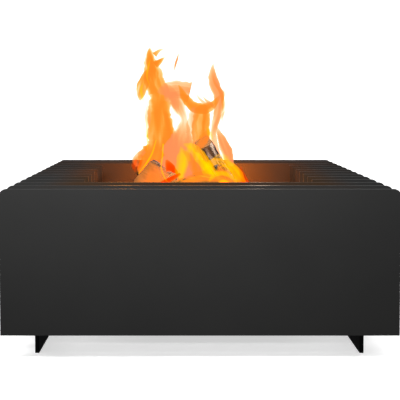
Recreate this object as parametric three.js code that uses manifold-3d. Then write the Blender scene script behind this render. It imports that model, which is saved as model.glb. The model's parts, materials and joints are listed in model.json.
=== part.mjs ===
// A square wood-burning fire pit built from a stack of upright steel plates.
// Thirteen parallel plates ("fins") stand one behind the other on two runner plates. The seven
// in the middle are notched from above, and the notches together make the fire opening. A fire
// tray sits in the notches, an ash pan sits in the tray, a log grate stands in the ash pan, and
// the firewood lies on the grate. Each of those lifts straight up and out.
// Millimetres, +Z up, -Y is the front. The origin is on the ground under the middle.

import * as THREE from "three";
import { mergeVertices } from "three/addons/utils/BufferGeometryUtils.js";
import Module from "manifold-3d";

// ---------------------------------------------------------------- driving dimensions

// Plate stack
const WIDTH = 914;
const DEPTH = 914;
const FIN_HEIGHT = 336.5;
const GROUND_GAP = 63.5;
const FIN_COUNT = 13;
const PLATE = 6;
const CORNER_RADIUS = 16;

// Fire opening: how wide, how deep, and how many plates stay whole at each end
const OPENING_WIDTH = 578;
const OPENING_DEPTH = 165;
const WHOLE_FINS_EACH_END = 3;

// Runner plates under the stack
const RUNNER_THICKNESS = 10;
const RUNNER_INSET = 66;
const RUNNER_RISE = 60;
const LAP_HEIGHT = 30;

// Tie rods through the stack
const ROD_RADIUS = 4;
const ROD_HOLE_CLEARANCE = 0.5;
const ROD_INSET = 84;
const ROD_ABOVE_RUNNER = 26;
const ROD_BELOW_TOP = 55;

// Fire tray
const TRAY_SHEET = 3;
const TRAY_CLEARANCE = 5;
const TRAY_RIM_DROP = 80;
const TRAY_CORNER_RADIUS = 14;
const HEM_HEIGHT = 14;
const HEM_FOLD = 3;
const AIR_SLOT_LENGTH = 56;
const AIR_SLOT_HEIGHT = 12;
const AIR_SLOT_DROP = 26;
const AIR_SLOTS_PER_WALL = 5;

// Ash pan and its two lifting handles
const PAN_SHEET = 2.5;
const PAN_CLEARANCE = 6;
const PAN_HEIGHT = 45;
const PAN_CORNER_RADIUS = 10;
const HANDLE_ROD_RADIUS = 4;
const HANDLE_GRIP = 130;
const HANDLE_LEAN = 22;
const HANDLE_TOP_DROP = 88;

// Log grate
const GRATE_TOP_DROP = 72;
const GRATE_WIDTH = 440;
const GRATE_DEPTH = 400;
const BAR_COUNT = 9;
const BAR_SIZE = 14;
const BAR_UPTURN = 18;
const BAR_BEND_LENGTH = 30;
const CROSS_BAR_SPREAD = 260;
const LEG_INSET = 40;

// Firewood
const BILLET_RADIUS = 22;
const BILLET_LENGTH = 330;

// Gaps: between pieces that touch, and between pieces that are pushed together
const GAP = 0.3;

// ---------------------------------------------------------------- derived places

const TOP = GROUND_GAP + FIN_HEIGHT;
const PITCH = (DEPTH - PLATE) / (FIN_COUNT - 1);
const FIRST_FIN_Y = -DEPTH / 2 + PLATE / 2;
const RUNNER_X = WIDTH / 2 - RUNNER_INSET - RUNNER_THICKNESS / 2;
const RUNNER_TOP = GROUND_GAP + RUNNER_RISE;
const LAP_TOP = GROUND_GAP + LAP_HEIGHT;
const ROD_X = WIDTH / 2 - ROD_INSET;
const ROD_HEIGHTS = [RUNNER_TOP + ROD_ABOVE_RUNNER, TOP - ROD_BELOW_TOP];
const NOTCH_FLOOR = TOP - OPENING_DEPTH;

const OPENING_LENGTH = (FIN_COUNT - 2 * WHOLE_FINS_EACH_END + 1) * PITCH - PLATE;
const TRAY_WIDTH = OPENING_WIDTH - 2 * TRAY_CLEARANCE;
const TRAY_LENGTH = OPENING_LENGTH - 2 * TRAY_CLEARANCE;
const TRAY_BOTTOM = NOTCH_FLOOR + GAP;
const TRAY_RIM = TOP - TRAY_RIM_DROP;

const HEM_REACH = TRAY_SHEET + HEM_FOLD;
const PAN_WIDTH = TRAY_WIDTH - 2 * (HEM_REACH + PAN_CLEARANCE);
const PAN_LENGTH = TRAY_LENGTH - 2 * (HEM_REACH + PAN_CLEARANCE);
const PAN_BOTTOM = TRAY_BOTTOM + TRAY_SHEET + GAP;
const PAN_FLOOR = PAN_BOTTOM + PAN_SHEET;
const PAN_RIM = PAN_BOTTOM + PAN_HEIGHT;

const GRATE_TOP = TOP - GRATE_TOP_DROP;
const BAR_BOTTOM = GRATE_TOP - BAR_SIZE;
const CROSS_BAR_TOP = BAR_BOTTOM - GAP;
const LEG_TOP = CROSS_BAR_TOP - BAR_SIZE - GAP;
const LEG_X = GRATE_WIDTH / 2 - LEG_INSET;
const CROSS_BAR_Y = CROSS_BAR_SPREAD / 2;

// ---------------------------------------------------------------- materials

const material = (color, roughness, metalness) =>
  new THREE.MeshStandardMaterial({ color, roughness, metalness });

const powderCoat = material(0x2e2e2d, 0.55, 0.3);
const bareSteel = material(0x4a4540, 0.6, 0.8);
const panSteel = material(0x3b3733, 0.7, 0.7);
const grateIron = material(0x35312e, 0.75, 0.7);
const splitWood = material(0x9a6a3c, 0.8, 0);

// ---------------------------------------------------------------- helpers

const wasm = await Module();
wasm.setup();

// A closed geometry as a solid that can be joined and cut.
function toSolid(geometry) {
  const bare = geometry.clone();
  bare.deleteAttribute("normal");
  bare.deleteAttribute("uv");
  const merged = mergeVertices(bare, 1e-4);
  return new wasm.Manifold(
    new wasm.Mesh({
      numProp: 3,
      vertProperties: merged.attributes.position.array,
      triVerts: new Uint32Array(merged.index.array),
    }),
  );
}

// A solid back to a geometry that a mesh can hold.
function toGeometry(solid) {
  const { vertProperties, triVerts } = solid.getMesh();
  const geometry = new THREE.BufferGeometry();
  geometry.setAttribute("position", new THREE.BufferAttribute(vertProperties, 3));
  geometry.setIndex(new THREE.BufferAttribute(triVerts, 1));
  geometry.computeVertexNormals();
  return geometry;
}

// A flat outline pushed to a thickness, centred on its plane.
function plate(shape, thickness, curveSegments = 5) {
  const geometry = new THREE.ExtrudeGeometry(shape, {
    depth: thickness,
    bevelEnabled: false,
    curveSegments,
  });
  return geometry.translate(0, 0, -thickness / 2);
}

// Turns a plate drawn in X and Y so that it stands across the pit: its outline lies in X and Z.
const standAcross = (geometry) => geometry.rotateX(Math.PI / 2);

// Turns a plate drawn in X and Y so that it stands along the pit: its outline lies in Y and Z.
function standAlong(geometry) {
  const turn = new THREE.Matrix4().makeBasis(
    new THREE.Vector3(0, 1, 0),
    new THREE.Vector3(0, 0, 1),
    new THREE.Vector3(1, 0, 0),
  );
  return geometry.applyMatrix4(turn);
}

// A rectangle with four round corners, centred on x, y.
function roundedRectangle(width, height, radius, x = 0, y = 0) {
  const r = Math.min(radius, width / 2, height / 2);
  const right = x + width / 2;
  const left = x - width / 2;
  const high = y + height / 2;
  const low = y - height / 2;
  const shape = new THREE.Shape();
  shape.moveTo(left + r, low);
  shape.absarc(right - r, low + r, r, -Math.PI / 2, 0, false);
  shape.absarc(right - r, high - r, r, 0, Math.PI / 2, false);
  shape.absarc(left + r, high - r, r, Math.PI / 2, Math.PI, false);
  shape.absarc(left + r, low + r, r, Math.PI, 1.5 * Math.PI, false);
  return shape;
}

// A flat-bottomed block with round upright corners, from z = bottom up to z = top.
function roundedBlock(width, length, radius, bottom, top) {
  const outline = roundedRectangle(width, length, radius);
  const block = plate(outline, top - bottom, 4);
  return toSolid(block.translate(0, 0, (top + bottom) / 2));
}

const group = new THREE.Group();

function add(name, geometry, finish, x = 0, y = 0, z = 0) {
  const mesh = new THREE.Mesh(geometry, finish);
  mesh.name = name;
  mesh.position.set(x, y, z);
  group.add(mesh);
  return mesh;
}

const sides = [
  ["left", -1],
  ["right", 1],
];

// ---------------------------------------------------------------- fins

// A fin's outline: square bottom corners, round top corners, and where asked for the fire
// notch, the two lap slots that straddle the runners, and the four tie-rod holes.
function finShape({ notched, lapped, drilled }) {
  const half = WIDTH / 2;
  const r = CORNER_RADIUS;
  const slotHalf = RUNNER_THICKNESS / 2 + GAP;
  const shape = new THREE.Shape();
  shape.moveTo(-half, GROUND_GAP);
  if (lapped) {
    for (const x of [-RUNNER_X, RUNNER_X]) {
      shape.lineTo(x - slotHalf, GROUND_GAP);
      shape.lineTo(x - slotHalf, LAP_TOP);
      shape.lineTo(x + slotHalf, LAP_TOP);
      shape.lineTo(x + slotHalf, GROUND_GAP);
    }
  }
  shape.lineTo(half, GROUND_GAP);
  shape.absarc(half - r, TOP - r, r, 0, Math.PI / 2, false);
  if (notched) {
    const notch = OPENING_WIDTH / 2;
    const inner = TRAY_CLEARANCE;
    shape.lineTo(notch, TOP);
    shape.absarc(notch - inner, NOTCH_FLOOR + inner, inner, 0, -Math.PI / 2, true);
    shape.absarc(-notch + inner, NOTCH_FLOOR + inner, inner, -Math.PI / 2, -Math.PI, true);
    shape.lineTo(-notch, TOP);
  }
  shape.absarc(-half + r, TOP - r, r, Math.PI / 2, Math.PI, false);
  shape.closePath();
  if (drilled) {
    for (const x of [-ROD_X, ROD_X]) {
      for (const z of ROD_HEIGHTS) {
        const hole = new THREE.Path();
        hole.absarc(x, z, ROD_RADIUS + ROD_HOLE_CLEARANCE, 0, 2 * Math.PI, true);
        shape.holes.push(hole);
      }
    }
  }
  return shape;
}

function finName(index) {
  if (index === 0) return "front_panel";
  if (index === FIN_COUNT - 1) return "rear_panel";
  return "fin_" + String(index + 1).padStart(2, "0");
}

for (let i = 0; i < FIN_COUNT; i += 1) {
  const fromEnd = Math.min(i, FIN_COUNT - 1 - i);
  const outer = fromEnd === 0;
  const shape = finShape({
    notched: fromEnd >= WHOLE_FINS_EACH_END,
    lapped: !outer,
    drilled: !outer,
  });
  add(finName(i), standAcross(plate(shape, PLATE)), powderCoat, 0, FIRST_FIN_Y + i * PITCH, 0);
}

// ---------------------------------------------------------------- runner plates

// A runner stands on edge from front to back. Its foot reaches from the second fin to the last
// but one, and its upper half reaches the backs of the two outer panels. Each inner fin drops
// into a notch from above, and straddles the runner with its own slot.
function runnerShape() {
  const footEnd = -FIRST_FIN_Y - PITCH + PLATE / 2;
  const upperEnd = DEPTH / 2 - PLATE - GAP;
  const notchHalf = PLATE / 2 + GAP;
  const notchFloor = LAP_TOP - GAP;
  const shape = new THREE.Shape();
  shape.moveTo(-footEnd, 0);
  shape.lineTo(footEnd, 0);
  shape.lineTo(footEnd, GROUND_GAP);
  shape.lineTo(upperEnd, GROUND_GAP);
  shape.lineTo(upperEnd, RUNNER_TOP);
  for (let i = FIN_COUNT - 2; i > 0; i -= 1) {
    const y = FIRST_FIN_Y + i * PITCH;
    shape.lineTo(y + notchHalf, RUNNER_TOP);
    shape.lineTo(y + notchHalf, notchFloor);
    shape.lineTo(y - notchHalf, notchFloor);
    shape.lineTo(y - notchHalf, RUNNER_TOP);
  }
  shape.lineTo(-upperEnd, RUNNER_TOP);
  shape.lineTo(-upperEnd, GROUND_GAP);
  shape.lineTo(-footEnd, GROUND_GAP);
  shape.closePath();
  return shape;
}

for (const [side, sign] of sides) {
  const geometry = standAlong(plate(runnerShape(), RUNNER_THICKNESS));
  add("foot_runner_" + side, geometry, powderCoat, sign * RUNNER_X, 0, 0);
}

// ---------------------------------------------------------------- tie rods

// Each rod passes through the eleven inner fins, and is welded to them and to the two panels.
const ROD_LENGTH = DEPTH - 2 * (PLATE + GAP);
const rodLevels = [
  ["lower", ROD_HEIGHTS[0]],
  ["upper", ROD_HEIGHTS[1]],
];
for (const [side, sign] of sides) {
  for (const [level, z] of rodLevels) {
    const rod = new THREE.CylinderGeometry(ROD_RADIUS, ROD_RADIUS, ROD_LENGTH, 12);
    add("tie_rod_" + level + "_" + side, rod, powderCoat, sign * ROD_X, 0, z);
  }
}

// ---------------------------------------------------------------- fire tray

// Folded sheet steel, with a hem turned inwards round the rim and a row of air slots in each
// wall, so that air drawn between the fins feeds the fire from below.
function slotBlock(length, height, thickness, radius) {
  return toSolid(standAcross(plate(roundedRectangle(length, height, radius), thickness, 3)));
}

function fireTray() {
  const r = TRAY_CORNER_RADIUS;
  const floor = TRAY_BOTTOM + TRAY_SHEET;
  const hemFoot = TRAY_RIM - HEM_HEIGHT;
  const overRim = TRAY_RIM + 1;
  const inner = [TRAY_WIDTH - 2 * TRAY_SHEET, TRAY_LENGTH - 2 * TRAY_SHEET, r - TRAY_SHEET];
  const mouth = [TRAY_WIDTH - 2 * HEM_REACH, TRAY_LENGTH - 2 * HEM_REACH, r - HEM_REACH];
  let tray = roundedBlock(TRAY_WIDTH, TRAY_LENGTH, r, TRAY_BOTTOM, TRAY_RIM);
  tray = tray.subtract(roundedBlock(...inner, floor, hemFoot));
  tray = tray.subtract(roundedBlock(...mouth, hemFoot - 1, overRim));
  const slot = slotBlock(AIR_SLOT_LENGTH, AIR_SLOT_HEIGHT, TRAY_SHEET * 4, AIR_SLOT_HEIGHT / 2);
  const z = TRAY_RIM - AIR_SLOT_DROP;
  const pitchX = (TRAY_WIDTH - 2 * r) / AIR_SLOTS_PER_WALL;
  const pitchY = (TRAY_LENGTH - 2 * r) / AIR_SLOTS_PER_WALL;
  for (let i = 0; i < AIR_SLOTS_PER_WALL; i += 1) {
    const step = i - (AIR_SLOTS_PER_WALL - 1) / 2;
    for (const sign of [-1, 1]) {
      const endWall = (sign * (TRAY_LENGTH - TRAY_SHEET)) / 2;
      const sideWall = (sign * (TRAY_WIDTH - TRAY_SHEET)) / 2;
      tray = tray.subtract(slot.translate([step * pitchX, endWall, z]));
      tray = tray.subtract(slot.rotate([0, 0, 90]).translate([sideWall, step * pitchY, z]));
    }
  }
  return toGeometry(tray);
}

add("fire_tray", fireTray(), bareSteel);

// ---------------------------------------------------------------- ash pan

function ashPan() {
  const r = PAN_CORNER_RADIUS;
  const inner = [PAN_WIDTH - 2 * PAN_SHEET, PAN_LENGTH - 2 * PAN_SHEET, r - PAN_SHEET];
  const body = roundedBlock(PAN_WIDTH, PAN_LENGTH, r, PAN_BOTTOM, PAN_RIM);
  return toGeometry(body.subtract(roundedBlock(...inner, PAN_FLOOR, PAN_RIM + 1)));
}

add("ash_pan", ashPan(), panSteel);

// A lifting handle is a bent rod, welded inside the pan's side wall and leaning inwards.
function panHandle(sign) {
  const wallX = PAN_WIDTH / 2 - PAN_SHEET - GAP - HANDLE_ROD_RADIUS;
  const foot = PAN_FLOOR + HANDLE_ROD_RADIUS + GAP;
  const top = TOP - HANDLE_TOP_DROP;
  const half = HANDLE_GRIP / 2;
  const shoulder = HANDLE_ROD_RADIUS * 5;
  const at = (x, y, z) => new THREE.Vector3(sign * x, y, z);
  const leaned = wallX - HANDLE_LEAN;
  const knee = [at(wallX, -half, PAN_RIM), at(wallX, half, PAN_RIM)];
  const corner = [at(leaned, -half, top), at(leaned, half, top)];
  const near = (a, b, distance) => a.clone().lerp(b, distance / a.distanceTo(b));
  const path = new THREE.CurvePath();
  const startBend = near(corner[0], knee[0], shoulder);
  const endBend = near(corner[0], corner[1], shoulder);
  const startBend2 = near(corner[1], corner[0], shoulder);
  const endBend2 = near(corner[1], knee[1], shoulder);
  path.add(new THREE.LineCurve3(at(wallX, -half, foot), knee[0]));
  path.add(new THREE.LineCurve3(knee[0], startBend));
  path.add(new THREE.QuadraticBezierCurve3(startBend, corner[0], endBend));
  path.add(new THREE.LineCurve3(endBend, startBend2));
  path.add(new THREE.QuadraticBezierCurve3(startBend2, corner[1], endBend2));
  path.add(new THREE.LineCurve3(endBend2, knee[1]));
  path.add(new THREE.LineCurve3(knee[1], at(wallX, half, foot)));
  const section = new THREE.Shape();
  section.absarc(0, 0, HANDLE_ROD_RADIUS, 0, 2 * Math.PI, false);
  return new THREE.ExtrudeGeometry(section, { extrudePath: path, steps: 44, curveSegments: 4 });
}

for (const [side, sign] of sides) {
  add("pan_handle_" + side, panHandle(sign), panSteel);
}

// ---------------------------------------------------------------- log grate

// A grate bar runs from front to back, and both its ends turn up to keep the logs on.
function barShape() {
  const half = GRATE_DEPTH / 2;
  const straight = half - BAR_BEND_LENGTH;
  const low = -BAR_SIZE;
  const shape = new THREE.Shape();
  shape.moveTo(-straight, low);
  shape.lineTo(straight, low);
  shape.quadraticCurveTo(half, low, half, BAR_UPTURN);
  shape.lineTo(half - BAR_SIZE, BAR_UPTURN);
  shape.quadraticCurveTo(half - BAR_SIZE, 0, straight - BAR_SIZE, 0);
  shape.lineTo(-straight + BAR_SIZE, 0);
  shape.quadraticCurveTo(-half + BAR_SIZE, 0, -half + BAR_SIZE, BAR_UPTURN);
  shape.lineTo(-half, BAR_UPTURN);
  shape.quadraticCurveTo(-half, low, -straight, low);
  return shape;
}

const BAR_PITCH = (GRATE_WIDTH - BAR_SIZE) / (BAR_COUNT - 1);
for (let i = 0; i < BAR_COUNT; i += 1) {
  const x = (i - (BAR_COUNT - 1) / 2) * BAR_PITCH;
  const geometry = standAlong(plate(barShape(), BAR_SIZE, 8));
  add("grate_bar_" + (i + 1), geometry, grateIron, x, 0, GRATE_TOP);
}

for (const [end, sign] of [
  ["front", -1],
  ["rear", 1],
]) {
  const crossBar = new THREE.BoxGeometry(GRATE_WIDTH, BAR_SIZE, BAR_SIZE);
  const y = sign * CROSS_BAR_Y;
  add("grate_cross_bar_" + end, crossBar, grateIron, 0, y, CROSS_BAR_TOP - BAR_SIZE / 2);
  for (const [side, way] of sides) {
    const legHeight = LEG_TOP - PAN_FLOOR - GAP;
    const leg = new THREE.BoxGeometry(BAR_SIZE, BAR_SIZE, legHeight);
    const z = LEG_TOP - legHeight / 2;
    add("grate_leg_" + end + "_" + side, leg, grateIron, way * LEG_X, y, z);
  }
}

// ---------------------------------------------------------------- firewood

// A log runs along its own z. Its section is a slightly wavy circle, and each split face cuts
// it flat: "at" is the way that the face looks, counted from the log's side towards its top,
// and "depth" is the face's distance from the middle as a share of the radius.
function logGeometry({ length, radius, taper, splits, phase }) {
  const ringPoints = 22;
  const rings = 7;
  const positions = [];
  const indices = [];
  for (let ring = 0; ring < rings; ring += 1) {
    const t = ring / (rings - 1);
    const narrowing = 1 - taper * t;
    const sway = 0.05 * radius * Math.sin(Math.PI * t + phase);
    for (let k = 0; k < ringPoints; k += 1) {
      const angle = (2 * Math.PI * k) / ringPoints;
      const wave = Math.sin(3 * angle + phase) + Math.sin(5 * angle + 2 * phase + 2 * t);
      let reach = radius * (0.925 + 0.0125 * wave);
      for (const { at, depth } of splits) {
        const facing = Math.cos(angle - at);
        if (facing > 0.05) reach = Math.min(reach, (depth * radius) / facing);
      }
      const x = reach * narrowing * Math.cos(angle) + sway;
      const y = reach * narrowing * Math.sin(angle);
      positions.push(x, y, (t - 0.5) * length);
    }
  }
  for (let ring = 0; ring < rings - 1; ring += 1) {
    for (let k = 0; k < ringPoints; k += 1) {
      const a = ring * ringPoints + k;
      const b = ring * ringPoints + ((k + 1) % ringPoints);
      indices.push(a, b, b + ringPoints, a, b + ringPoints, a + ringPoints);
    }
  }
  const last = (rings - 1) * ringPoints;
  for (let k = 1; k < ringPoints - 1; k += 1) {
    indices.push(0, k + 1, k);
    indices.push(last, last + k, last + k + 1);
  }
  const geometry = new THREE.BufferGeometry();
  geometry.setAttribute("position", new THREE.Float32BufferAttribute(positions, 3));
  geometry.setIndex(indices);
  geometry.computeVertexNormals();
  return geometry;
}

// Lays a log between two points, given as heights above the grate.
function layLog(name, from, to, { radius, taper = 0.05, splits = [], phase = 0, roll = 0 }) {
  const start = new THREE.Vector3(...from);
  const end = new THREE.Vector3(...to);
  const along = end.clone().sub(start);
  const length = along.length();
  along.normalize();
  const up = new THREE.Vector3(0, 0, 1).addScaledVector(along, -along.z).normalize();
  const across = new THREE.Vector3().crossVectors(up, along);
  const mesh = add(name, logGeometry({ length, radius, taper, splits, phase }), splitWood);
  const turn = new THREE.Matrix4().makeBasis(across, up, along);
  mesh.quaternion.setFromRotationMatrix(turn);
  mesh.rotateZ(roll);
  mesh.position.copy(start).lerp(end, 0.5);
  mesh.position.z += GRATE_TOP + GAP;
}

// Three pieces lie on the grate and a thin log rests across one of them. A broad split log
// leans on the left billet, and a barked log leans forward over the round one.
const SPLIT_RADIUS = 60;
const ROUND_RADIUS = 28;
const THIN_RADIUS = 21;
const LEANING_RADIUS = 31;
const billetReach = BILLET_LENGTH / 2;
const LOW = 0.925 * BILLET_RADIUS;

layLog("billet_left", [-141, billetReach, LOW], [-45, -billetReach, LOW], {
  radius: BILLET_RADIUS,
  phase: 0.4,
});
layLog("billet_right", [-18, -100, LOW], [205, -146, LOW], {
  radius: BILLET_RADIUS,
  phase: 1.9,
});
layLog("split_log_front", [-148, 70, 53], [-81, -160, 44], {
  radius: SPLIT_RADIUS,
  taper: 0.2,
  splits: [
    { at: 2.45, depth: 0.36 },
    { at: -0.7, depth: 0.42 },
  ],
  phase: 2.6,
});
layLog("round_log_middle", [-52, 4, 25.6], [112, 17.5, 25.4], {
  radius: ROUND_RADIUS,
  phase: 3.3,
});
layLog("thin_log_rear", [-176, 140, 68.3], [112, 152, 18.5], {
  radius: THIN_RADIUS,
  splits: [{ at: 1.6, depth: 0.5 }],
  phase: 5.1,
});
layLog("bark_log_leaning", [96, 99, 22], [17, -64, 163], {
  radius: LEANING_RADIUS,
  taper: 0.06,
  phase: 0.9,
  splits: [
    { at: 2.2, depth: 0.45 },
    { at: 0.75, depth: 0.66 },
  ],
});

export default group;
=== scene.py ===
# %% [markdown]
# # A fire pit of steel fins, with its log fire burning
#
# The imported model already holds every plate, bar and log at its real size and place. This lesson
# gives those pieces their surfaces: powder coat, heat-browned steel, scaled iron, split wood and
# bark. It also lights the fire, which is only a picture of a fire and not a part of the pit.

import json
import math
import random

import bmesh
import bpy
import numpy as np
from mathutils import Euler, Matrix, Vector, noise

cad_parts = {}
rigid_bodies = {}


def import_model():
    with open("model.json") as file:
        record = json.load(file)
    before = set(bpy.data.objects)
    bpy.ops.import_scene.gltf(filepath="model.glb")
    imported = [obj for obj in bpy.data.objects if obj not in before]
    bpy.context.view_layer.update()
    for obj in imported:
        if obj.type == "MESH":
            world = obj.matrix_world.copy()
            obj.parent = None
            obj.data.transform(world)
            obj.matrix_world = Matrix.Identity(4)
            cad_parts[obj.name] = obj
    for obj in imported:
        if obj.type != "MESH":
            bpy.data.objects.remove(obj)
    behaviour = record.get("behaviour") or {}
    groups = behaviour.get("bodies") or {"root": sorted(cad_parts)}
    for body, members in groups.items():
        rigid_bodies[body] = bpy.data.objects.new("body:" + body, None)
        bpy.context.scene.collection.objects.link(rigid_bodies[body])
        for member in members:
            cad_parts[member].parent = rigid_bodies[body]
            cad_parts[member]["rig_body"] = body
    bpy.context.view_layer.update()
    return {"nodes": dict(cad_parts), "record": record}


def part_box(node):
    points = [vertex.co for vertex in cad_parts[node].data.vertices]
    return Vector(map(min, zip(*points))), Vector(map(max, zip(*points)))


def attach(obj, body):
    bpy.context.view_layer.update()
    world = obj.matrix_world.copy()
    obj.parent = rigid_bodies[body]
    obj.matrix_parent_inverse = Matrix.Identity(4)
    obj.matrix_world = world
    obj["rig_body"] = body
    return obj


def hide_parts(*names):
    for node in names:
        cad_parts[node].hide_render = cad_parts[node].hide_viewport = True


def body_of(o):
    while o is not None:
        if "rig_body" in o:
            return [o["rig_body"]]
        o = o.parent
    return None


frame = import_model()
nodes = frame["nodes"]

# %% [markdown]
# ## Camera
#
# The pit is seen from the front, a little from the left and from not much above its top, through
# a long lens. The camera leans down only a few degrees, and the lens shift does the rest, so that
# the upright edges stay upright, as an architect's camera keeps them.

# %% Camera
scene = bpy.context.scene
panel_low, panel_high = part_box("front_panel")
pit_top = panel_high.z
TILT_DOWN = math.radians(2.52)

camera_data = bpy.data.cameras.new("camera")
camera_data.lens = 74.38
camera_data.sensor_width = 36
camera_data.shift_x = 0.0393
camera_data.shift_y = -0.16
camera = bpy.data.objects.new("camera", camera_data)
camera.location = (-0.0359, panel_low.y - 1.8671, pit_top + 0.2028)
camera.rotation_euler = (math.radians(90) - TILT_DOWN, 0, 0)
scene.collection.objects.link(camera)
scene.camera = camera
scene.view_settings.view_transform = "Standard"
print("camera at", tuple(round(c, 3) for c in camera.location))

# %% [markdown]
# ## A small language for shaders
#
# A finish is built from nodes, but it reads better as arithmetic. `Wire` stands for one output
# socket, and arithmetic on wires adds Math nodes. `Finish` is a material, and its method `node`
# adds any other kind of node: its settings go in first, then its values and links. The other
# methods are short names for the few nodes that every finish here is made of.

# %% Wires and finishes
class Wire:
    """An output socket. Arithmetic on it adds Math nodes to its finish."""

    def __init__(self, finish, socket):
        self.finish = finish
        self.socket = socket

    def _math(self, operation, first, second):
        return self.finish.node("ShaderNodeMath", {"operation": operation}, {0: first, 1: second})

    def __add__(self, other):
        return self._math("ADD", self, other)

    def __radd__(self, other):
        return self._math("ADD", other, self)

    def __sub__(self, other):
        return self._math("SUBTRACT", self, other)

    def __rsub__(self, other):
        return self._math("SUBTRACT", other, self)

    def __mul__(self, other):
        return self._math("MULTIPLY", self, other)

    def __rmul__(self, other):
        return self._math("MULTIPLY", other, self)

    def or_more(self, other):
        return self._math("MAXIMUM", self, other)

    def clamped(self):
        return self._math("MINIMUM", self.or_more(0.0), 1.0)


class Finish:
    """A material with nodes, and the means to add more of them."""

    def __init__(self, name):
        self.material = bpy.data.materials.new(name)
        self.material.use_nodes = True
        self.tree = self.material.node_tree
        self.tree.nodes.clear()

    def node(self, kind, settings=None, inputs=None, output=0):
        made = self.tree.nodes.new(kind)
        for key, value in (settings or {}).items():
            if key == "stops":
                self._set_stops(made.color_ramp, value)
            else:
                setattr(made, key, value)
        for key, value in (inputs or {}).items():
            if isinstance(value, Wire):
                self.tree.links.new(value.socket, made.inputs[key])
            else:
                made.inputs[key].default_value = value
        return Wire(self, made.outputs[output])

    @staticmethod
    def _set_stops(ramp, stops):
        while len(ramp.elements) < len(stops):
            ramp.elements.new(0.5)
        for element, (position, colour) in zip(ramp.elements, stops):
            element.position = position
            element.color = (*colour, 1)

    def place(self):
        return self.node("ShaderNodeTexCoord", output="Object")

    def axes(self, place):
        split = self.node("ShaderNodeSeparateXYZ", inputs={0: place})
        outputs = split.socket.node.outputs
        return [Wire(self, outputs[i]) for i in range(3)]

    def stretched(self, place, scale):
        return self.node("ShaderNodeMapping", inputs={"Vector": place, "Scale": scale})

    def grain(self, place, scale, detail=4.0, rough=0.55, warp=0.0):
        inputs = {
            "Vector": place,
            "Scale": scale,
            "Detail": detail,
            "Roughness": rough,
            "Distortion": warp,
        }
        return self.node("ShaderNodeTexNoise", inputs=inputs)

    def ramp(self, value, *stops):
        return self.node("ShaderNodeValToRGB", {"stops": stops}, {0: value})

    def mask(self, value, low, high):
        inputs = {"Value": value, "From Min": low, "From Max": high}
        settings = {"interpolation_type": "SMOOTHSTEP"}
        return self.node("ShaderNodeMapRange", settings, inputs)

    def mix(self, factor, first, second):
        inputs = {0: factor, 6: rgba(first), 7: rgba(second)}
        return self.node("ShaderNodeMix", {"data_type": "RGBA"}, inputs, output=2)

    def bump(self, height, distance, strength=1.0):
        inputs = {"Strength": strength, "Distance": distance, "Height": height}
        return self.node("ShaderNodeBump", inputs=inputs)

    def surface(self, inputs):
        shader = self.node("ShaderNodeBsdfPrincipled", inputs=inputs)
        self.to_output(shader, "Surface")
        return self

    def to_output(self, wire, socket):
        end = self.tree.nodes.new("ShaderNodeOutputMaterial")
        self.tree.links.new(wire.socket, end.inputs[socket])


def rgba(colour):
    return colour if isinstance(colour, Wire) else (*colour, 1)


print("shader helpers ready")

# %% [markdown]
# ## Floor, backdrop and soft studio light
#
# A dark object on white needs light that wraps. One very soft sun from above and a glow of the
# floor's own make the pale floor read as white, and a weaker sun fills in from behind. One broad
# lamp in front gives the front panel its slow fall-off from top to bottom, and another does the
# same for the rear panel. The rear one gives no gloss, or it would draw a bright line on the top
# of every fin. A white dome far away closes the room. The dome and the floor are left out of the
# bounce light, because a black coat in an all-white room turns grey.

# %% Studio
FLOOR_RADIUS = 14
DOME_RADIUS = 24
FLOOR_GREY = 0.86
FLOOR_GLOW = 0.6
DOME_GLOW = 1.4


def pale_floor():
    finish = Finish("pale_floor")
    speck = finish.grain(finish.place(), 9.0)
    inputs = {
        "Base Color": finish.mix(speck, (FLOOR_GREY,) * 3, (0.985 * FLOOR_GREY,) * 3),
        "Roughness": 0.9,
        "Specular IOR Level": 0.1,
        "Emission Color": (1, 1, 1, 1),
        "Emission Strength": FLOOR_GLOW,
    }
    return finish.surface(inputs)


def disc(name, radius, count=96):
    mesh = bpy.data.meshes.new(name)
    turn = [2 * math.pi * i / count for i in range(count)]
    rim = [(radius * math.cos(a), radius * math.sin(a), 0) for a in turn]
    mesh.from_pydata(rim, [], [range(count)])
    made = bpy.data.objects.new(name, mesh)
    scene.collection.objects.link(made)
    return made


floor = disc("floor", FLOOR_RADIUS)
floor.data.materials.append(pale_floor().material)
floor.visible_diffuse = False
floor.visible_glossy = False

dome_form = bmesh.new()
bmesh.ops.create_icosphere(dome_form, subdivisions=4, radius=DOME_RADIUS)
dome_mesh = bpy.data.meshes.new("dome")
dome_form.to_mesh(dome_mesh)
dome = bpy.data.objects.new("dome", dome_mesh)
scene.collection.objects.link(dome)
dome_finish = Finish("white_dome")
white = {"Color": (1, 1, 1, 1), "Strength": DOME_GLOW}
dome_finish.to_output(dome_finish.node("ShaderNodeEmission", inputs=white), "Surface")
dome.data.materials.append(dome_finish.material)
dome.visible_diffuse = False
dome.visible_glossy = False
dome.visible_shadow = False
print("floor radius:", FLOOR_RADIUS, "dome radius:", DOME_RADIUS)

# %% Lamps
world = bpy.data.worlds.new("room")
world.use_nodes = True
background = world.node_tree.nodes["Background"]
background.inputs["Color"].default_value = (0.95, 0.97, 1, 1)
background.inputs["Strength"].default_value = 0.06
scene.world = world


def lamp(name, kind, energy, location, aim, **settings):
    data = bpy.data.lights.new(name, kind)
    data.energy = energy
    for key, value in settings.items():
        setattr(data, key, value)
    made = bpy.data.objects.new(name, data)
    made.location = location
    direction = Vector(aim) - Vector(location)
    made.rotation_euler = direction.to_track_quat("-Z", "Y").to_euler()
    made.visible_camera = False
    scene.collection.objects.link(made)
    return made


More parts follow.
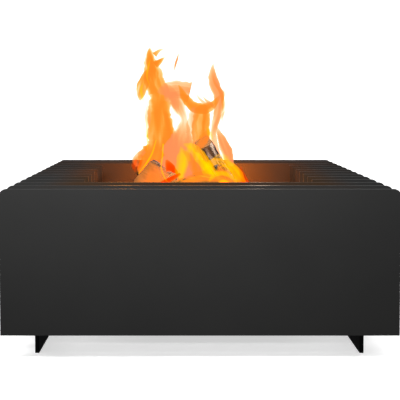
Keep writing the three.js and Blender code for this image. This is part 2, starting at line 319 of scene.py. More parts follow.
MIDDLE = (0, 0, 0)
SOFT = math.radians(60)
STRIP = {"shape": "RECTANGLE", "size": 1.5, "size_y": 0.2}
front_aim = (-0.1, panel_low.y, 0.25)
rear_aim = (0.1, -panel_low.y, 0.25)
lamp("soft_sun", "SUN", 2.2, (-0.7, -0.9, 4.8), MIDDLE, angle=SOFT)
lamp("panel_light", "AREA", 19.5, (-0.2, -1.06, 0.92), front_aim, **STRIP)
rear_lamp = lamp("rear_panel_light", "AREA", 10.0, (0.2, 1.2, 0.56), rear_aim, **STRIP)
rear_lamp.visible_glossy = False
lamp("rear_fill", "SUN", 1.0, (2.0, 3.2, 3.0), MIDDLE, angle=SOFT)

# %% [markdown]
# ## Edges
#
# The plates come off a laser with square edges, and the powder rounds them off a little as it
# melts. A bevel of under a millimetre makes that round, and it is what catches the light along
# every fin. Each steel piece is a copy of its CAD node with its flat faces joined up again and
# its edges rounded, so its size can't change.

# %% Rounded copies of CAD pieces
def show(name, mesh, finish, body, node):
    made = bpy.data.objects.new(name, mesh)
    scene.collection.objects.link(made)
    made.data.materials.clear()
    made.data.materials.append(finish.material)
    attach(made, body)
    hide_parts(node)
    return made


def applied(piece):
    bpy.context.view_layer.update()
    graph = bpy.context.evaluated_depsgraph_get()
    mesh = bpy.data.meshes.new_from_object(piece.evaluated_get(graph))
    piece.modifiers.clear()
    piece.data = mesh
    return piece


def merged_mesh(node):
    form = bmesh.new()
    form.from_mesh(nodes[node].data)
    bmesh.ops.remove_doubles(form, verts=form.verts, dist=1e-5)
    bmesh.ops.dissolve_limit(form, angle_limit=0.01, verts=form.verts, edges=form.edges)
    mesh = bpy.data.meshes.new(node + "_mesh")
    form.to_mesh(mesh)
    form.free()
    return mesh


def rounded(node, finish, edge, segments=2):
    body = body_of(nodes[node])[0]
    piece = show(node + "_finished", merged_mesh(node), finish, body, node)
    bevel = piece.modifiers.new("edge", "BEVEL")
    bevel.width = edge
    bevel.segments = segments
    bevel.limit_method = "ANGLE"
    bevel.angle_limit = math.radians(35)
    for face in piece.data.polygons:
        face.use_smooth = True
    even = piece.modifiers.new("even", "WEIGHTED_NORMAL")
    even.weight = 60
    even.keep_sharp = True
    return applied(piece)


# %% [markdown]
# ## Powder coat
#
# Matt charcoal powder is nearly black, with a faint orange-peel skin that only shows as a soft
# break-up of the highlights. Round the opening the coat turns browner and duller. Part of that is
# the coat baked by the fire, and part is painted firelight: the warm glow of the fire on the walls
# and fin tops is put into the colour. Distance from the opening's edge drives it, so every fin
# gets its share from the same sum.

# %% Powder coat finish
notch_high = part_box("fire_tray")[1]
# How far from the opening the heat browning and the painted firelight reach.
HEAT_TINT_AND_GLOW_REACH = 0.11


def near_fire(finish, place, reach):
    """1 at the fire opening's walls, fading to 0 at reach metres from them."""
    x, y, z = finish.axes(place)
    half_x = notch_high.x
    half_y = notch_high.y
    beside = finish.node("ShaderNodeMath", {"operation": "ABSOLUTE"}, {0: x}) - half_x
    before = finish.node("ShaderNodeMath", {"operation": "ABSOLUTE"}, {0: y}) - half_y
    return 1.0 - finish.mask(beside.or_more(before), 0.0, reach)


def powder_coat():
    finish = Finish("charcoal_powder_coat")
    place = finish.place()
    cloud = finish.grain(place, 5.0, 3.0)
    peel = finish.grain(place, 900.0, 2.0)
    dust = finish.grain(place, 60.0, 6.0, 0.7)
    # Painted firelight and heat browning: near the opening the coat is browned, partly as real
    # baked coat and partly as the fire's warm glow painted into the colour.
    heat_tint_and_painted_glow = near_fire(finish, place, HEAT_TINT_AND_GLOW_REACH) * (0.6 + 0.4 * finish.mask(cloud, 0.25, 0.75))
    coat = finish.mix(cloud, (0.0168, 0.0168, 0.0168), (0.0208, 0.0208, 0.0203))
    coat = finish.mix(heat_tint_and_painted_glow * 0.9, coat, (0.036, 0.015, 0.0025))
    coat = finish.mix(finish.mask(dust, 0.66, 0.8) * 0.18, coat, (0.06, 0.058, 0.055))
    rough = 0.5 + 0.1 * cloud + 0.05 * peel + 0.12 * heat_tint_and_painted_glow
    bump = finish.bump(peel, 0.00012, 0.35)
    inputs = {"Base Color": coat, "Roughness": rough, "Normal": bump, "Specular IOR Level": 0.16}
    return finish.surface(inputs)


coat = powder_coat()
PLATE_EDGE = 0.0008
frame_nodes = frame["record"]["behaviour"]["bodies"]["frame"]
for name in frame_nodes:
    rounded(name, coat, PLATE_EDGE)
print("coated plates, runners and rods:", len(frame_nodes))

# %% [markdown]
# ## Heat-worked steel
#
# The tray, the ash pan and the grate were never coated. Steel that lives in a fire loses its mill
# shine: it goes brown-grey, with blue and straw tints where it was hottest, and flakes of scale.
# The same recipe serves all three, with its own tone, scale and ash for each.

# %% Fired steel finish
def fired_steel(name, dark, light, flake_size, ash):
    finish = Finish(name)
    place = finish.place()
    cloud = finish.grain(place, 14.0, 6.0, 0.6, 0.4)
    flake = finish.grain(place, flake_size, 8.0, 0.7)
    pits = finish.grain(place, flake_size * 5, 3.0)
    tint = finish.ramp(cloud, (0.35, dark), (0.5, light), (0.62, (0.05, 0.052, 0.07)))
    scaled = finish.mask(flake, 0.48, 0.6)
    colour = finish.mix(scaled * 0.7, tint, tuple(0.45 * c for c in dark))
    dusty = finish.mask(flake + 0.4 * cloud, 0.72, 0.95) * ash
    colour = finish.mix(dusty, colour, (0.36, 0.34, 0.32))
    rough = 0.5 + 0.25 * scaled + 0.2 * dusty
    height = scaled * 0.6 + pits * 0.4
    inputs = {
        "Base Color": colour,
        "Roughness": rough.clamped(),
        "Metallic": (0.85 - 0.6 * scaled - 0.5 * dusty).clamped(),
        "Normal": finish.bump(height, 0.0004, 0.6),
    }
    return finish.surface(inputs)


tray_steel = fired_steel("fire_tray_steel", (0.05, 0.036, 0.028), (0.11, 0.075, 0.05), 90.0, 0.25)
pan_steel = fired_steel("ash_pan_steel", (0.045, 0.036, 0.03), (0.09, 0.07, 0.055), 120.0, 0.6)
grate_iron = fired_steel("grate_iron", (0.03, 0.024, 0.021), (0.07, 0.05, 0.038), 160.0, 0.35)

rounded("fire_tray", tray_steel, 0.0007)
for name in ["ash_pan", "pan_handle_left", "pan_handle_right"]:
    rounded(name, pan_steel, 0.0006)
grate_nodes = frame["record"]["behaviour"]["bodies"]["grate"]
for name in grate_nodes:
    rounded(name, grate_iron, 0.0012)
print("fired steel pieces:", 4 + len(grate_nodes))

# %% [markdown]
# ## Firewood
#
# A log is round where it still has its bark and flat where the axe went through, and the two
# looks have nothing in common: bark is ridged and grey, split wood is pale with long fibres, and
# the sawn ends show rings. Each log's long axis is found from its own points. Then the log is
# remeshed finely and every point is pushed in or out, and what the point is made of (bark, end
# grain, char) is stored on it for the finish to read.

# %% A log's own axes
def log_frame(node):
    """The matrix from the log's own axes, z along its length, to the pit's."""
    points = np.array([v.co for v in nodes[node].data.vertices])
    centre = points.mean(axis=0)
    along = Vector(np.linalg.svd(points - centre, full_matrices=False)[2][0])
    if along.x < 0:
        along.negate()
    up = (Vector((0, 0, 1)) - along * along.z).normalized()
    across = up.cross(along)
    turn = Matrix((across, up, along)).transposed().to_4x4()
    return Matrix.Translation(Vector(centre)) @ turn


def remeshed(node, placed, voxel):
    mesh = merged_mesh(node)
    mesh.transform(placed.inverted())
    rough_form = bpy.data.objects.new(node + "_rough", mesh)
    scene.collection.objects.link(rough_form)
    remesh = rough_form.modifiers.new("even", "REMESH")
    remesh.mode = "VOXEL"
    remesh.voxel_size = voxel
    made = applied(rough_form).data
    bpy.data.objects.remove(rough_form)
    return made


print("leaning log:", [round(c, 3) for c in log_frame("bark_log_leaning").translation])

# %% Bark, split faces and char on a log's points
BAR_SIZE = 0.014
SLICE = 0.02
grate_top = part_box("grate_bar_5")[0].z + BAR_SIZE


def smooth_step(value, low, high):
    t = min(max((value - low) / (high - low), 0), 1)
    return t * t * (3 - 2 * t)


def ridges(point, across, along, seed):
    at = Vector((point.x * across, point.y * across, point.z * along)) + Vector((seed, 0, 0))
    return 1 - abs(noise.noise(at)) * 2


def carve(mesh, placed, seed, bark_depth, char):
    """Pushes the points about, and stores what each one is made of."""
    half = max(abs(v.co.z) for v in mesh.vertices)
    radii = [math.hypot(v.co.x, v.co.y) for v in mesh.vertices]
    slices = {}
    for v, r in zip(mesh.vertices, radii):
        key = round(v.co.z / SLICE)
        slices[key] = max(slices.get(key, 0), r)
    stored = {name: [] for name in ("bark", "end", "char")}
    moved = []
    for v, r in zip(mesh.vertices, radii):
        p = v.co
        end = smooth_step(abs(v.normal.z), 0.55, 0.85)
        end *= smooth_step(abs(p.z), half - 0.012, half - 0.004)
        round_side = smooth_step(r / slices[round(p.z / SLICE)], 0.78, 0.86)
        bark = round_side * (1 - end)
        deep = ridges(p, 75, 13, seed) * 0.7 + ridges(p, 190, 30, seed + 5) * 0.3
        fibre = noise.noise(Vector((p.x * 260, p.y * 260, p.z * 9 + seed)))
        split = noise.noise(Vector((p.x * 45, p.y * 45, p.z * 5 + seed)))
        rim = smooth_step(abs(p.z), half - 0.007, half) * (1 - end)
        push = bark * bark_depth * (deep - 0.75)
        push += (1 - bark) * (1 - end) * (0.0006 * fibre + 0.0022 * split - 0.001)
        push += end * 0.0007 * noise.noise(p * 240) - rim * 0.0014
        world_point = placed @ p
        low = 1 - smooth_step(world_point.z, grate_top + 0.01, grate_top + 0.16)
        cloud = 0.5 + 0.5 * noise.noise(world_point * 16 + Vector((seed, 0, 0)))
        burnt = char * (0.25 + 0.9 * low) + min(2 * char, 1) * 1.5 * (cloud - 0.55)
        burnt = min(max(burnt, 0), 1)
        moved.append(p + v.normal * push)
        stored["bark"].append(bark)
        stored["end"].append(end)
        stored["char"].append(burnt)
    for v, place in zip(mesh.vertices, moved):
        v.co = place
    for name, values in stored.items():
        layer = mesh.attributes.new(name, "FLOAT", "POINT")
        layer.data.foreach_set("value", values)
    for face in mesh.polygons:
        face.use_smooth = True


print("logs lie at", round(grate_top, 4))

# %% [markdown]
# ## Wood, bark and char finish
#
# The finish reads the three stored values and mixes four looks by them. Rings come from the
# distance to the log's middle, fibres from noise pulled out along the log, and bark from noise
# pulled out less. Char is crazed into small blocks, and where it is hottest the cracks glow.

# %% Firewood finish
def stored_value(finish, name):
    settings = {"attribute_type": "GEOMETRY", "attribute_name": name}
    return finish.node("ShaderNodeAttribute", settings, output="Fac")


def firewood(name, pale, warm, bark_dark, bark_light):
    finish = Finish(name)
    place = finish.place()
    bark = stored_value(finish, "bark")
    end = stored_value(finish, "end")
    char = stored_value(finish, "char")
    fibre = finish.grain(finish.stretched(place, (420, 420, 14)), 1.0, 5.0, 0.6)
    streak = finish.grain(finish.stretched(place, (70, 70, 5)), 1.0, 4.0, 0.6, 0.6)
    flat = finish.stretched(place, (1, 1, 0))
    length = finish.node("ShaderNodeVectorMath", {"operation": "LENGTH"}, {0: flat}, "Value")
    wobble = finish.grain(place, 40.0, 3.0)
    ring = finish.node("ShaderNodeMath", {"operation": "SINE"}, {0: length * 1900 + wobble * 7})
    wood = finish.mix(streak, pale, warm)
    wood = finish.mix(finish.mask(fibre, 0.5, 0.75) * 0.5, wood, tuple(0.55 * c for c in warm))
    cut_end = finish.mix(finish.mask(ring, -0.2, 0.9) * 0.5, pale, tuple(0.6 * c for c in warm))
    crust = finish.grain(finish.stretched(place, (85, 85, 9)), 1.0, 6.0, 0.6, 0.5)
    crust_tone = finish.mix(finish.mask(crust, 0.43, 0.54), bark_dark, bark_light)
    colour = finish.mix(end, finish.mix(bark, wood, crust_tone), cut_end)
    blocks = finish.node(
        "ShaderNodeTexVoronoi",
        {"feature": "DISTANCE_TO_EDGE"},
        {"Vector": finish.stretched(place, (1, 1, 0.6)), "Scale": 95.0, "Randomness": 1.0},
    )
    crack = 1.0 - finish.mask(blocks, 0.0, 0.12)
    burnt = finish.mask(char + 0.25 * (fibre - 0.5), 0.45, 0.7)
    scorch = finish.mask(char, 0.2, 0.6)
    colour = finish.mix(scorch * 0.6, colour, (0.05, 0.022, 0.01))
    colour = finish.mix(burnt, colour, (0.012, 0.011, 0.0105))
    ash = finish.mask(finish.grain(place, 130.0, 6.0, 0.7), 0.56, 0.7) * burnt
    colour = finish.mix(ash * 0.5, colour, (0.32, 0.3, 0.28))
    hot = finish.mask(char, 0.75, 1.1) * (0.1 + 0.9 * crack) * (1.0 - 0.85 * end)
    ember = finish.ramp(hot, (0.0, (0, 0, 0)), (0.45, (0.25, 0.015, 0)), (1.0, (1.0, 0.2, 0.015)))
    height = fibre * (1.0 - bark) * 0.35 + crust * bark - crack * burnt * 1.2
    inputs = {
        "Base Color": colour,
        "Roughness": 0.62 + 0.25 * burnt,
        "Emission Color": ember,
        "Emission Strength": 2.0,
        "Normal": finish.bump(height, 0.0012, 0.7),
        "Specular IOR Level": 0.25,
    }
    return finish.surface(inputs)


split_wood = firewood(
    "split_wood",
    pale=(0.42, 0.18, 0.045),
    warm=(0.24, 0.08, 0.016),
    bark_dark=(0.06, 0.03, 0.016),
    bark_light=(0.24, 0.12, 0.06),
)
barked_wood = firewood(
    "barked_wood",
    pale=(0.27, 0.13, 0.045),
    warm=(0.17, 0.07, 0.02),
    bark_dark=(0.05, 0.035, 0.03),
    bark_light=(0.55, 0.47, 0.41),
)
print("wood finishes:", split_wood.material.name, barked_wood.material.name)

# %% Carve the logs
VOXEL = 0.003
BARK_DEPTH = 0.0026
firewood_nodes = frame["record"]["behaviour"]["bodies"]["firewood"]
slots = {row["node"]: row["material_slot"] for row in frame["record"]["subparts"]}
charring = {
    "billet_left": 0.75,
    "billet_right": 0.8,
    "split_log_front": 0.12,
    "round_log_middle": 0.5,
    "thin_log_rear": 0.55,
    "bark_log_leaning": 0.1,
}
for seed, name in enumerate(firewood_nodes):
    placed = log_frame(name)
    mesh = remeshed(name, placed, VOXEL)
    carve(mesh, placed, 11.3 * (seed + 1), BARK_DEPTH, charring[name])
    finish = barked_wood if slots[name] == "bark_wood" else split_wood
    log = bpy.data.objects.new(name + "_carved", mesh)
    scene.collection.objects.link(log)
    log.matrix_world = placed
    mesh.materials.clear()
    mesh.materials.append(finish.material)
    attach(log, "firewood")
    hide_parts(name)
    print(name, "points:", len(mesh.vertices))

# %% [markdown]
# ## Ash and embers
#
# A fire that has burned for a while lies on a bed of pale ash with lumps of charcoal in it. The
# bed is one height field over the pan's floor, heaped under the grate. The lumps are small broken
# blocks, and many of them still glow in patches.

# %% Ash bed
pan_low, pan_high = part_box("ash_pan")
PAN_SHEET = 0.0025
PAN_GAP = 0.002
pan_floor = pan_low.z + PAN_SHEET


def ash_bed(steps):
    half_x = (pan_high.x - pan_low.x) / 2 - PAN_SHEET - PAN_GAP
    half_y = (pan_high.y - pan_low.y) / 2 - PAN_SHEET - PAN_GAP
    form = bmesh.new()
    bmesh.ops.create_grid(form, x_segments=steps, y_segments=steps, size=1)
    for v in form.verts:
        u, w = v.co.x, v.co.y
        heap = math.exp(-3.0 * (u * u + w * w))
        edge = min(1, 12 * (1 - max(abs(u), abs(w))))
        lump = noise.fractal(Vector((u * 9, w * 9, 3)), 0.8, 2.0, 5)
        v.co.x = u * half_x
        v.co.y = w * half_y
        v.co.z = pan_floor + 0.0008 + edge * (0.004 + 0.016 * heap + 0.0035 * lump)
    mesh = bpy.data.meshes.new("ash_bed")
    form.to_mesh(mesh)
    form.free()
    for face in mesh.polygons:
        face.use_smooth = True
    bed = bpy.data.objects.new("ash_bed", mesh)
    scene.collection.objects.link(bed)
    solid = bed.modifiers.new("thick", "SOLIDIFY")
    solid.thickness = 0.0007
    solid.offset = -1
    return applied(bed)


def ash_finish():
    finish = Finish("wood_ash")
    place = finish.place()
    powder = finish.grain(place, 70.0, 8.0, 0.7)
    speck = finish.grain(place, 420.0, 4.0, 0.6)
    cloud = finish.grain(place, 11.0, 3.0)
    tone = finish.mix(powder, (0.2, 0.19, 0.18), (0.5, 0.48, 0.45))
    tone = finish.mix(finish.mask(speck, 0.6, 0.68) * 0.8, tone, (0.03, 0.028, 0.026))
    tone = finish.mix(finish.mask(cloud, 0.5, 0.62) * 0.7, tone, (0.06, 0.055, 0.05))
    inputs = {
        "Base Color": tone,
        "Roughness": 0.95,
        "Normal": finish.bump(powder + 0.4 * speck, 0.0015, 0.8),
        "Specular IOR Level": 0.1,
    }
    return finish.surface(inputs)


COAL_COUNT = 90
COAL_REACH = 0.19


def coals(count, seed):
    """Broken lumps of charcoal on the ash, as one piece."""
    dice = random.Random(seed)
    squash = Matrix.Diagonal((1.4, 1.0, 0.75, 1.0))
    form = bmesh.new()
    for _ in range(count):
        angle = dice.uniform(0, 2 * math.pi)
        reach = COAL_REACH * math.sqrt(dice.random())
        x = reach * math.cos(angle)
        y = reach * math.sin(angle)
        size = dice.uniform(0.006, 0.014)
        heap = math.exp(-3.0 * (x * x + y * y) / 0.08)
        turn = Euler([dice.uniform(0, 6.3) for _ in range(3)]).to_matrix().to_4x4()
        z = pan_floor + 0.006 + 0.015 * heap + 0.4 * size
        place = Matrix.Translation((x, y, z)) @ turn @ squash
        lump = bmesh.ops.create_icosphere(form, subdivisions=2, radius=size)["verts"]
        for v in lump:
            chip = noise.cell(v.co * 260 + Vector((x, y, 0)) * 900)
            v.co *= 0.86 + 0.2 * chip
            v.co = place @ v.co
    mesh = bpy.data.meshes.new("coals")
    form.to_mesh(mesh)
    form.free()
    made = bpy.data.objects.new("coals", mesh)
    scene.collection.objects.link(made)
    return made


def coal_finish():
    finish = Finish("charcoal")
    place = finish.place()
    cloud = finish.grain(place, 26.0, 3.0)
    crack = finish.grain(place, 300.0, 5.0, 0.6)
    powder = finish.mask(finish.grain(place, 150.0, 5.0, 0.6), 0.5, 0.62)
    tone = finish.mix(powder * 0.6, (0.013, 0.012, 0.012), (0.3, 0.28, 0.26))
    hot = finish.mask(cloud, 0.44, 0.6) * finish.mask(crack, 0.38, 0.62)
    ember = finish.ramp(hot, (0.0, (0, 0, 0)), (0.4, (0.2, 0.012, 0)), (1.0, (1.0, 0.18, 0.015)))
    inputs = {
        "Base Color": tone,
        "Roughness": 0.85,
        "Emission Color": ember,
        "Emission Strength": 2.5,
        "Normal": finish.bump(crack, 0.001, 0.8),
    }
    return finish.surface(inputs)


bed = ash_bed(110)
bed.data.materials.append(ash_finish().material)
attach(bed, "ash_pan")
coal = coals(COAL_COUNT, 4)
coal.data.materials.append(coal_finish().material)
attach(coal, "ash_pan")
print("ash bed height:", round(bed.dimensions.z, 4), "coals:", len(coal.data.polygons))

# %% [markdown]
# ## Flames
#
# Flame is glowing gas, so each tongue is a closed thin skin with a volume inside and nothing on
# its surface. The volume takes away blue and green and adds light of its own, so a thick flame
# turns the same orange in front of the pale floor and in front of dark steel, and a thin one lets
# what is behind show through. A tongue follows a smooth line through a few stops, each with a
# half width, and noise stretched along the line gives the licking streaks. Flames are dressing:
# they ride on the firewood but are no piece of the part.

# %% Gas kinds
def gas(name, green_loss, blue_loss, glow):
    """A flame volume: what it takes from light that passes, per metre, and what it adds."""
    finish = Finish(name)
    most = max(green_loss, blue_loss)
    tint = (1.0, 1.0 - green_loss / most, 1.0 - blue_loss / most, 1.0)
    taken = {"Color": tint, "Density": most}
    added = {"Color": (*glow, 1.0), "Strength": 1.0}
    loss = finish.node("ShaderNodeVolumeAbsorption", inputs=taken)
    light = finish.node("ShaderNodeEmission", inputs=added)
    both = finish.node("ShaderNodeAddShader", inputs={0: loss, 1: light})
    finish.to_output(both, "Volume")
    return finish.material


GASES = {
    "orange": gas("flame_orange", 100, 170, (42, 26, 3.5)),
    "salmon": gas("flame_salmon", 84, 130, (34, 25, 13)),
    "yellow": gas("flame_yellow", 80, 220, (135, 70, 0)),
    "red": gas("flame_red", 60, 150, (32, 2.5, 0)),
}
print("gases:", ", ".join(GASES))

# %% One tongue
def smooth_line(stops, steps):
    """Catmull-Rom points through the stops; each stop is x, z and a half width."""
    ends = [stops[0] * 2 - stops[1]] + stops + [stops[-1] * 2 - stops[-2]]
    line = []
    for i in range(1, len(ends) - 2):
        a, b, c, d = ends[i - 1 : i + 3]
        for k in range(steps):
            t = k / steps
            bend = (2 * a - 5 * b + 4 * c - d) * t * t + (3 * b - a - 3 * c + d) * t * t * t
            line.append((2 * b + (c - a) * t + bend) / 2)
    line.append(stops[-1])
    return line


AROUND = 40
ALONG = 9
THINNEST = 0.0003


def tongue(name, kind, y, depth, stops, seed):
    """A closed flame in the plane at y. Each stop is x, z and a half width in millimetres."""
    line = smooth_line([Vector(stop) / 1000 for stop in stops], ALONG)
    form = bmesh.new()
    rings = []
    for i, p in enumerate(line):
        ahead = line[min(i + 1, len(line) - 1)] - line[max(i - 1, 0)]
        way = Vector((ahead.x, 0, ahead.y)).normalized()
        side = Vector((way.z, 0, -way.x))
        half = max(p.z, THINNEST)
        ring = []
        for k in range(AROUND):
            angle = 2 * math.pi * k / AROUND
            across = math.cos(angle)
            through = math.sin(angle)
            at = Vector((across * half * 60 + seed, p.x * 14 + p.y * 14, through + seed))
            streak = 0.5 + 0.9 * noise.noise(at)
            fine = Vector((across * half * 130 + seed, p.x * 20 + p.y * 20, 7.0))
            streak += 0.45 * noise.noise(fine)
            wisp = 1 + 0.2 * noise.noise(Vector((p.x * 40, p.y * 45, across * 2 + seed)))
            wisp += 0.14 * noise.noise(Vector((p.x * 90, p.y * 110, across + seed)))
            place = Vector((p.x, y, p.y)) + side * (across * half * wisp)
            place.y += through * half * depth * (0.35 + max(streak, 0))
            ring.append(form.verts.new(place))
        rings.append(ring)
    for lower, upper in zip(rings, rings[1:]):
        for k in range(AROUND):
            n = (k + 1) % AROUND
            form.faces.new((lower[k], lower[n], upper[n], upper[k]))
    form.faces.new(list(reversed(rings[0])))
    form.faces.new(rings[-1])
    bmesh.ops.recalc_face_normals(form, faces=form.faces)
    mesh = bpy.data.meshes.new(name)
    form.to_mesh(mesh)
    form.free()
    flame = bpy.data.objects.new(name, mesh)
    scene.collection.objects.link(flame)
    mesh.materials.append(GASES[kind])
    flame.visible_diffuse = False
    flame.visible_glossy = False
    flame.visible_shadow = False
    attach(flame, "firewood")
    return flame


SEED_STEP = 3.7
lit = []


def burn(title, tongues):
    for kind, y, depth, stops in tongues:
        number = len(lit)
        flame = tongue("flame_" + str(number + 1), kind, y, depth, stops, SEED_STEP * number)
        lit.append(flame)
    print(title, "tongues:", len(tongues))


# %% [markdown]
# ### Where the tongues stand
#
# Each tongue is one row: its gas, the plane it stands in (metres from the middle, minus is the
# front), how deep it is for its width, and its stops from one end to the other. The groups go
# roughly from the back of the fire to the front. Drawing the tongues one by one gives a fire that
# belongs to these logs, where a simulation would give a different one at every change.

# %% The tall flame at the left
# Its lobe, tip, curls and yellow streaks.
TALL_FLAME = (
    ("orange", 0.1, 0.5, (
        (-122, 366, 50), (-121, 424, 51), (-108, 470, 38), (-108, 530, 37), (-110, 588, 33),
        (-108, 622, 30), (-122, 650, 31), (-130, 690, 25), (-134, 716, 18), (-137, 742, 9),
        (-136, 754, 3),
    )),
    ("orange", 0.08, 0.9, (
        (-136, 694, 3), (-148, 668, 14), (-157, 642, 17), (-162, 618, 12), (-165, 600, 3),
    )),
    ("yellow", -0.02, 0.6, ((-150, 650, 1), (-156, 630, 4), (-152, 606, 4), (-148, 592, 1))),
    ("yellow", -0.02, 0.8, ((-139, 462, 1), (-139, 492, 3), (-141, 524, 3), (-137, 560, 1))),
    ("yellow", -0.02, 0.8, ((-132, 640, 1), (-140, 668, 2.5), (-136, 694, 3), (-130, 716, 1))),
    ("orange", 0.09, 1.2, (
        (-122, 646, 2), (-129, 680, 11), (-134, 712, 13), (-137, 738, 8), (-137, 752, 2),
    )),
    ("orange", 0.0, 1.8, ((-120, 728, 8), (-106, 740, 4), (-93, 744, 1))),
    ("orange", 0.0, 1.6, ((-118, 700, 10), (-103, 711, 7), (-90, 722, 1))),
    ("salmon", 0.05, 0.5, (
        (-140, 602, 1), (-140, 578, 7), (-142, 552, 9), (-140, 528, 6), (-138, 508, 1),
    )),
)
burn("tall_flame", TALL_FLAME)

# %% The broad wisp and its strands
# The last one bridges to the middle.
BROAD_WISP = (
    ("salmon", 0.05, 0.5, (
        (-114, 624, 2), (-90, 630, 21), (-66, 634, 28), (-42, 631, 28), (-19, 626, 29),
    )),
    ("salmon", 0.06, 0.5, (
        (-94, 656, 2), (-78, 622, 18), (-66, 596, 16), (-60, 574, 10), (-56, 556, 2),
    )),
    ("salmon", 0.05, 0.6, (
        (-62, 626, 14), (-57, 600, 20), (-45, 570, 14), (-37, 546, 10), (-38, 520, 20),
        (-46, 478, 42), (-52, 430, 50), (-60, 372, 54),
    )),
    ("orange", 0.1, 0.4, (
        (-84, 366, 30), (-82, 430, 34), (-78, 490, 22), (-88, 540, 14), (-92, 600, 10),
    )),
    ("orange", 0.0, 1.0, (
        (-52, 644, 2), (-32, 607, 12), (-12, 585, 15), (18, 577, 16), (44, 588, 12), (66, 616, 2),
    )),
)
burn("broad_wisp", BROAD_WISP)

# %% The middle flame
# Behind the leaning log.
MIDDLE_FLAME = (
    ("salmon", -0.01, 0.45, (
        (2, 400, 20), (-6, 440, 18), (-14, 490, 15), (-16, 530, 14), (-10, 562, 14), (-4, 582, 8),
    )),
    ("orange", -0.01, 0.5, (
        (18, 392, 30), (16, 440, 27), (12, 490, 26), (10, 530, 26), (14, 562, 23), (18, 582, 14),
        (20, 590, 4),
    )),
    ("orange", 0.01, 0.6, ((30, 470, 6), (24, 510, 12), (26, 550, 10), (22, 588, 5))),
)
burn("middle_flame", MIDDLE_FLAME)

# %% The slim flame at the right
# With the licks at its sides.
SLIM_FLAME = (
    ("salmon", 0.01, 1.4, (
        (64, 400, 11), (58, 444, 9), (47, 510, 9), (58, 562, 12), (63, 609, 15), (47, 653, 15),
        (44, 684, 8), (46, 706, 1),
    )),
    ("orange", 0.0, 0.8, ((70, 540, 2), (74, 580, 5), (68, 620, 6), (50, 650, 4), (44, 672, 1))),
    ("salmon", 0.0, 1.6, ((98, 416, 8), (88, 448, 15), (72, 486, 13), (62, 510, 7), (55, 528, 1))),
    ("salmon", 0.0, 0.8, ((56, 520, 2), (62, 545, 4), (72, 560, 4), (82, 574, 1))),
    ("orange", 0.0, 0.9, ((68, 592, 1), (75, 614, 4), (75, 628, 3), (72, 642, 1))),
)
burn("slim_flame", SLIM_FLAME)

# %% Loose licks
# Torn off above the fire.
LOOSE_LICKS = (
    ("salmon", 0.0, 4.0, ((-64, 684, 1), (-61, 700, 3), (-56, 716, 3), (-52, 732, 1))),
    ("salmon", 0.0, 2.5, ((-3, 620, 1), (8, 604, 4), (26, 590, 5), (36, 580, 4))),
    ("salmon", 0.0, 2.5, ((15, 614, 1), (26, 600, 4), (40, 590, 5), (48, 580, 4))),
)
burn("loose_licks", LOOSE_LICKS)

# %% Low flames
# Red edges, and films in front of the logs.
LOW_FLAMES = (
    ("red", -0.05, 0.5, ((-168, 404, 6), (-168, 420, 14), (-162, 436, 12), (-152, 450, 5))),
    ("salmon", -0.04, 0.8, ((-166, 418, 6), (-170, 436, 9), (-160, 450, 9), (-146, 462, 6))),
    ("red", -0.12, 1.6, ((-84, 442, 3), (-76, 424, 12), (-66, 404, 14), (-66, 386, 8))),
    ("orange", -0.2, 0.1, ((-122, 376, 34), (-121, 404, 32), (-120, 430, 18), (-119, 446, 3))),
    ("orange", -0.14, 0.5, ((80, 382, 14), (66, 404, 18), (61, 424, 12), (61, 436, 3))),
    ("orange", -0.18, 0.25, (
        (-84, 368, 10), (-30, 384, 20), (30, 388, 24), (86, 384, 20), (122, 372, 8),
    )),
)
burn("low_flames", LOW_FLAMES)

# %% Yellow curls between the logs
# Where the fire is hottest.
YELLOW_CURLS = (
    ("yellow", -0.15, 0.3, (
        (-38, 486, 3), (-18, 478, 12), (4, 454, 17), (26, 424, 16), (48, 402, 10), (62, 390, 2),
    )),
    ("yellow", -0.15, 0.3, (
        (14, 418, 4), (38, 438, 10), (63, 440, 10), (90, 422, 13), (110, 398, 13), (126, 376, 6),
    )),
    ("yellow", -0.17, 0.3, ((8, 446, 4), (20, 428, 14), (30, 410, 15), (34, 392, 8))),
    ("yellow", -0.15, 0.3, ((-50, 390, 12), (-44, 426, 18), (-40, 454, 15), (-45, 480, 2))),
    ("yellow", -0.16, 0.3, (
        (-60, 378, 6), (-10, 392, 9), (40, 398, 8), (80, 386, 8), (112, 376, 4),
    )),
    ("yellow", -0.16, 0.5, ((38, 446, 2), (54, 457, 4), (74, 451, 5), (86, 436, 2))),
    ("yellow", -0.16, 0.5, ((54, 422, 2), (70, 430, 4), (86, 420, 4), (94, 406, 1))),
    ("yellow", -0.15, 0.4, ((-14, 500, 1), (-20, 484, 5), (-26, 462, 6), (-22, 440, 4))),
    ("orange", -0.16, 0.4, ((-40, 470, 2), (-22, 452, 10), (-8, 424, 13), (4, 396, 10))),
)
burn("yellow_curls", YELLOW_CURLS)

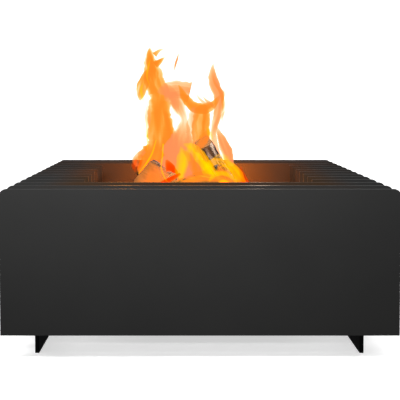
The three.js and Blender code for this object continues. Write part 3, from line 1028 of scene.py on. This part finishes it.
# %% Licks in front of the logs
# The last two are thin strands, the nearest of all.
FRONT_LICKS = (
    ("red", -0.15, 0.9, ((127, 372, 15), (119, 398, 10), (114, 415, 6), (113, 429, 1))),
    ("orange", -0.15, 0.5, (
        (28, 526, 3), (24, 512, 10), (16, 499, 14), (5, 482, 13), (-4, 464, 7),
    )),
    ("yellow", -0.155, 0.3, ((24, 536, 1), (28, 519, 6), (34, 505, 6), (37, 491, 1))),
    ("red", -0.2, 3.0, ((-112, 374, 4), (-92, 386, 7), (-70, 398, 7), (-46, 412, 3))),
    ("yellow", -0.19, 0.5, ((28, 392, 3), (46, 410, 7), (70, 412, 8), (92, 400, 7), (106, 380, 4))),
    ("yellow", -0.19, 0.5, ((44, 378, 3), (62, 390, 6), (78, 384, 6), (84, 374, 3))),
    ("yellow", -0.21, 1.5, ((-154, 412, 1), (-134, 438, 2.2), (-118, 466, 2.2), (-108, 500, 1.5))),
    ("yellow", -0.21, 1.5, (
        (-90, 490, 2.2), (-92, 456, 2.2), (-95, 428, 2.2), (-86, 402, 2.2), (-75, 388, 1.5),
    )),
)
burn("front_licks", FRONT_LICKS)

# %% [markdown]
# ## Firelight
#
# The flames themselves cast no light, which keeps the picture free of speckle. Warm lamps in the
# middle of the fire do it instead. Flat ones look outwards at the four walls, and two round ones
# light the logs.

# %% Lamps in the fire
FIRE_COLOUR = (1.0, 0.31, 0.02)
PALE_FIRE = (1.0, 0.72, 0.52)
GLOW_HEIGHT = 0.37


def wall_glow(name, energy, start, aim, size):
    return lamp(name, "AREA", energy, start, aim, size=size, color=FIRE_COLOUR)


def log_glow(name, energy, start, colour):
    return lamp(name, "POINT", energy, start, MIDDLE, shadow_soft_size=0.04, color=colour)


fire_lights = (
    wall_glow("glow_rear", 9.0, (0, 0.15, GLOW_HEIGHT), (0, 0.3, 0.36), 0.3),
    wall_glow("glow_left", 0.5, (-0.2, 0, GLOW_HEIGHT), (-0.3, 0, 0.36), 0.12),
    wall_glow("glow_right", 0.5, (0.2, 0, GLOW_HEIGHT), (0.3, 0, 0.36), 0.12),
    wall_glow("glow_front", 0.8, (0, -0.19, GLOW_HEIGHT), (0, -0.3, GLOW_HEIGHT), 0.2),
    log_glow("glow_logs_left", 1.3, (-0.2, -0.13, 0.47), FIRE_COLOUR),
    log_glow("glow_logs_right", 1.2, (0.15, -0.22, 0.47), PALE_FIRE),
)
for light in fire_lights:
    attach(light, "firewood")
print("fire lamps:", len(fire_lights))
